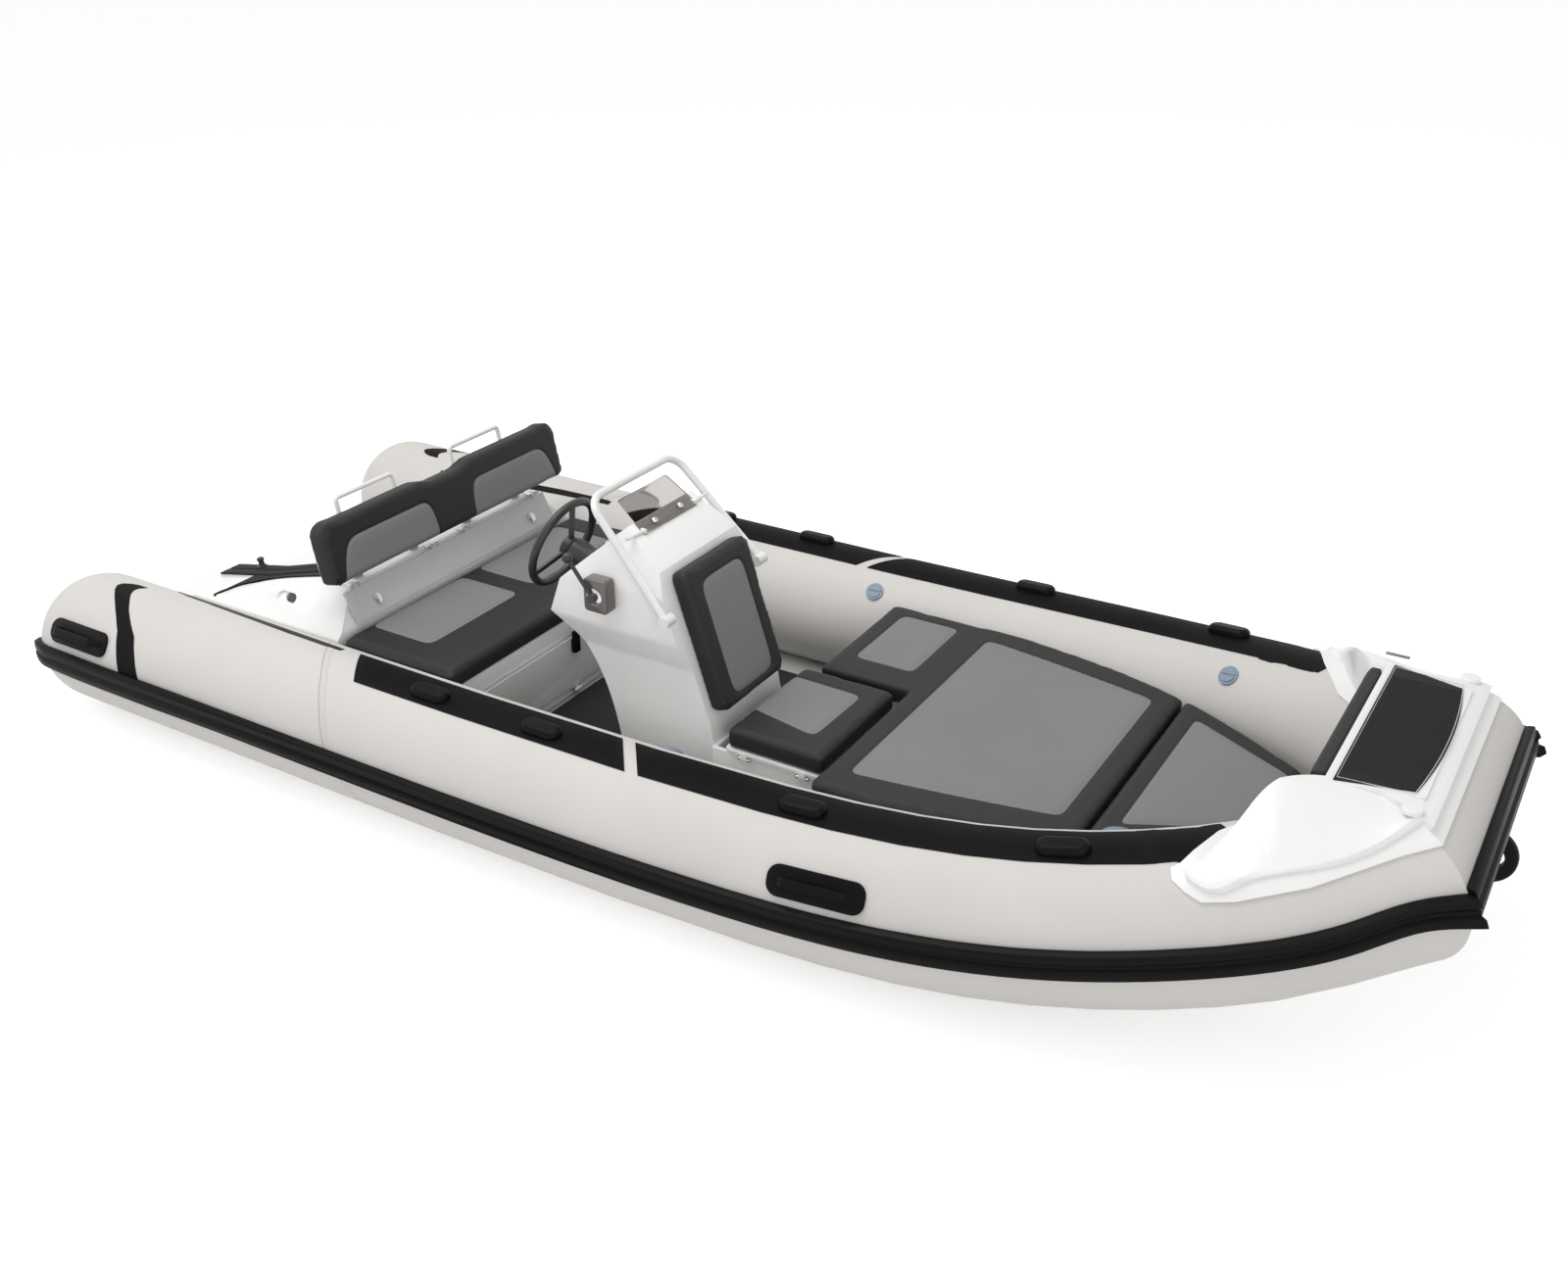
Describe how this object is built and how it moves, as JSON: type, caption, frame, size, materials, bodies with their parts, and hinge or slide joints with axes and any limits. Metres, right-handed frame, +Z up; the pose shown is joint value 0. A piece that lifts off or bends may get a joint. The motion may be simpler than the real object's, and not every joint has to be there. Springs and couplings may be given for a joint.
{
  "type": "rigid inflatable boat",
  "caption": "Five metre rigid inflatable boat with side console, bench with backrest, sundeck cushions and bow step.",
  "frame": {"origin": "on the waterline of the empty boat, on the centreline, amidships", "axes": "+X to the bow, +Y to port, +Z up"},
  "size_m": [5.0833, 2.2152, 1.4162],
  "materials": {
    "collar_fabric": "satin",
    "black_rubber": "matte",
    "white_moulding": "gloss",
    "hull_paint": "satin",
    "deck_paint": "matte",
    "deck_mat": "matte",
    "cushion_vinyl": "satin",
    "stainless": "polished",
    "smoked_acrylic": "gloss",
    "black_plastic": "satin",
    "valve_plastic": "satin",
    "webbing": "woven"
  },
  "bodies": {
    "boat": {"collar_port": "collar_fabric", "collar_starboard": "collar_fabric", "collar_bow": "collar_fabric", "rub_rail_port": "black_rubber", "rub_rail_starboard": "black_rubber", "rub_rail_bow": "black_rubber", "hull": "hull_paint", "transom": "hull_paint", "deck": "deck_paint", "floor_mat": "deck_mat", "bench_base": "white_moulding", "bench_cushion": "cushion_vinyl", "aft_moulding": "white_moulding", "stern_mats": "deck_mat", "backrest_cushion": "cushion_vinyl", "backrest_board": "black_plastic", "backrest_arms": "stainless", "backrest_rails": "stainless", "console_shell": "white_moulding", "console_seat_base": "white_moulding", "hinge_brackets": "stainless", "console_back_cushion": "cushion_vinyl", "windshield": "smoked_acrylic", "console_rail": "stainless", "helm": "black_plastic", "control_box": "white_moulding", "control_lever": "stainless", "sundeck_base": "white_moulding", "sundeck_cushion": "cushion_vinyl", "bow_deck_cushion": "cushion_vinyl", "bow_step": "white_moulding", "bow_step_pad": "deck_mat", "bow_cleats": "white_moulding", "bow_cushion": "cushion_vinyl", "bow_towing_eye": "black_rubber", "wear_patches": "black_rubber", "grab_handles": "black_rubber", "carry_handles": "black_rubber", "valves": "valve_plastic"},
    "wheel": {"steering_wheel": "black_plastic"},
    "stern_hatch": {"rear_hatch": "white_moulding", "hatch_latches": "stainless"},
    "locker_door": {"bench_door": "white_moulding", "bench_latch": "webbing"},
    "seat_lid": {"console_seat_lid": "white_moulding", "console_seat_cushion": "cushion_vinyl"}
  },
  "joints": [
    {"name": "steering", "type": "hinge", "parent": "boat", "child": "wheel", "pos_m": [-0.48435, -0.25, 0.8317], "axis": [-0.9455, 0, 0.3256], "range_deg": [-630, 630]},
    {"name": "stern_hatch_hinge", "type": "hinge", "parent": "boat", "child": "stern_hatch", "pos_m": [-1.24494, 0, 0.5865], "axis": [0, -1, 0], "range_deg": [0, 80]},
    {"name": "bench_door_hinge", "type": "hinge", "parent": "boat", "child": "locker_door", "pos_m": [-0.6665, 0, 0.0865], "axis": [0, 1, 0], "range_deg": [0, 90]},
    {"name": "console_seat_hinge", "type": "hinge", "parent": "boat", "child": "seat_lid", "pos_m": [0.496, -0.4805, 0.3595], "axis": [1, 0, 0], "range_deg": [0, 95]}
  ]
}
